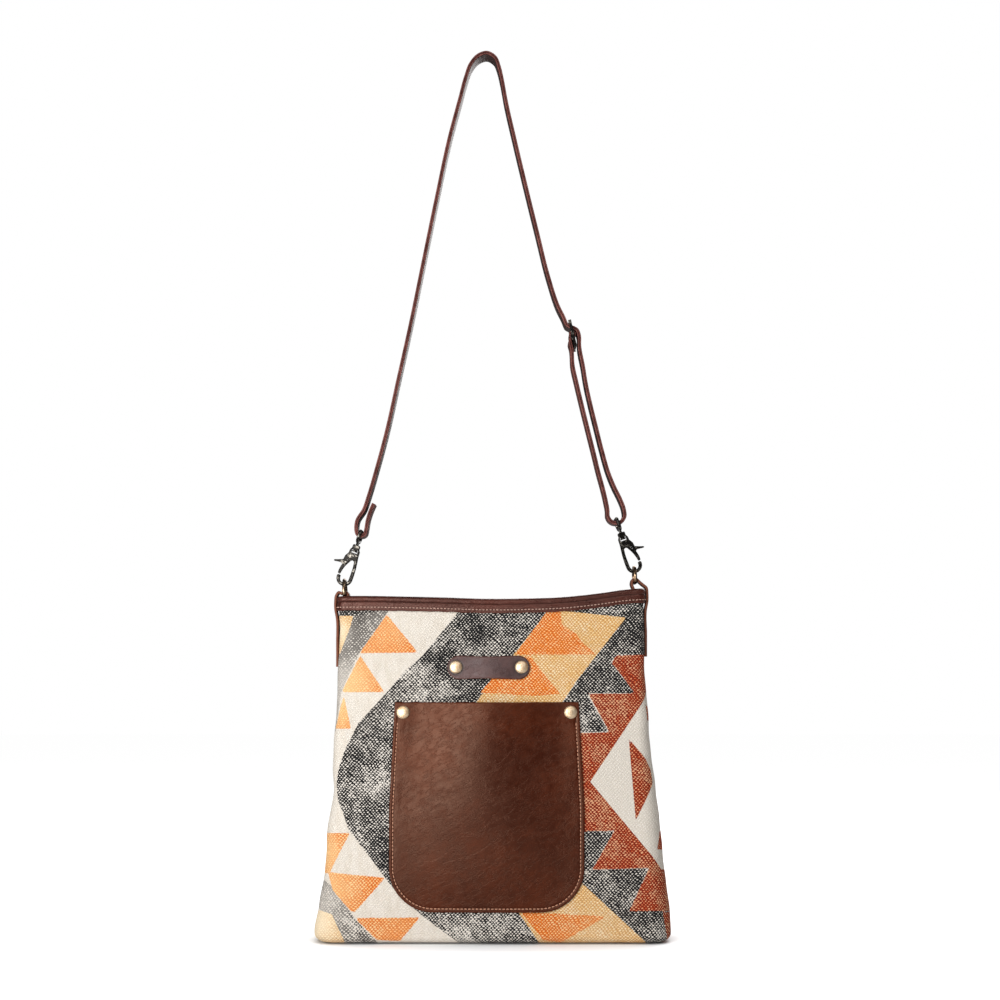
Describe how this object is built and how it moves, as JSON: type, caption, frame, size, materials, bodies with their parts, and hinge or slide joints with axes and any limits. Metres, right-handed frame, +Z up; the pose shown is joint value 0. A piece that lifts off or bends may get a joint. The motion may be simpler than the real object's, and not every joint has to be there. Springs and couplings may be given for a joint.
{
  "type": "crossbody bag",
  "caption": "Flat crossbody bag of block-printed canvas with a leather patch pocket, a leather-bound zip top, and a leather strap on swivel clasps.",
  "frame": {"origin": "underside of the strap's highest point, where the bag hangs", "axes": "+Z up, the front with its pocket faces -Y, +X to the right seen from the front"},
  "size_m": [0.2747, 0.071, 0.6888],
  "materials": {
    "printed_canvas": "coarse plain weave, block-printed in orange, yellow, rust and black on cream",
    "lining_cloth": "plain cream cotton",
    "brown_leather": "dark brown leather, satin",
    "strap_leather": "brown strap leather, satin, paler at its cut edges",
    "gunmetal": "dark plated metal worn to brass at its edges",
    "pale_brass": "pale antique brass"
  },
  "bodies": {
    "strap": {"strap": "strap_leather", "strap_slider": "gunmetal", "clasp_eye_left": "gunmetal", "clasp_eye_right": "gunmetal"},
    "hook_left": {"clasp_hook_left": "gunmetal", "clasp_pin_left": "gunmetal"},
    "hook_right": {"clasp_hook_right": "gunmetal", "clasp_pin_right": "gunmetal"},
    "trigger_left": {"clasp_trigger_left": "gunmetal"},
    "trigger_right": {"clasp_trigger_right": "gunmetal"},
    "bag": {"front_panel": "printed_canvas", "back_panel": "printed_canvas", "base_panel": "printed_canvas", "lining": "lining_cloth", "rim_binding": "brown_leather", "pocket": "brown_leather", "pocket_rivet_left": "pale_brass", "pocket_rivet_right": "pale_brass", "loop_strip": "brown_leather", "strip_rivet_left": "pale_brass", "strip_rivet_right": "pale_brass", "side_tab_left": "brown_leather", "side_tab_right": "brown_leather", "zip_tape_front": "lining_cloth", "zip_tape_back": "lining_cloth", "zip_bottom_stop": "pale_brass", "zip_top_stop_front": "pale_brass", "zip_top_stop_back": "pale_brass"},
    "ring_left": {"ring_left": "pale_brass"},
    "ring_right": {"ring_right": "pale_brass"},
    "zip_slider": {"zip_slider": "pale_brass"},
    "zip_pull": {"zip_pull": "pale_brass"}
  },
  "joints": [
    {"name": "bag_swing", "type": "hinge", "parent": "strap", "child": "bag", "pos_m": [0.0021, 0, -0.40999], "axis": [0.999, 0, 0.0442], "range_deg": [-45, 45]},
    {"name": "left_swivel", "type": "hinge", "parent": "strap", "child": "hook_left", "pos_m": [-0.1112, 0, -0.407], "axis": [0.3387, 0, 0.9409], "range_deg": [-9, 9]},
    {"name": "right_swivel", "type": "hinge", "parent": "strap", "child": "hook_right", "pos_m": [0.1147, 0, -0.397], "axis": [-0.36, 0, 0.933], "range_deg": [-9, 9]},
    {"name": "left_trigger", "type": "hinge", "parent": "hook_left", "child": "trigger_left", "pos_m": [-0.10951, 0, -0.39167], "axis": [0, -1, 0], "range_deg": [0, 25], "stiffness_Nm_per_rad": 0.02, "springref_deg": -11.46},
    {"name": "right_trigger", "type": "hinge", "parent": "hook_right", "child": "trigger_right", "pos_m": [0.11266, 0, -0.38171], "axis": [0, 1, 0], "range_deg": [0, 25], "stiffness_Nm_per_rad": 0.02, "springref_deg": -11.46},
    {"name": "left_ring_tilt", "type": "hinge", "parent": "bag", "child": "ring_left", "pos_m": [-0.11067, 0, -0.41899], "axis": [0, 1, 0], "range_deg": [-3.5, 3.5]},
    {"name": "right_ring_tilt", "type": "hinge", "parent": "bag", "child": "ring_right", "pos_m": [0.11523, 0, -0.40899], "axis": [0, 1, 0], "range_deg": [-3.5, 3.5]},
    {"name": "zip_slide", "type": "slide", "parent": "bag", "child": "zip_slider", "axis": [1, 0, 0], "range_m": [-0.183, 0]},
    {"name": "pull_swing", "type": "hinge", "parent": "zip_slider", "child": "zip_pull", "pos_m": [0.10143, 0, -0.43505], "axis": [0, 1, 0], "range_deg": [0, 110]}
  ]
}
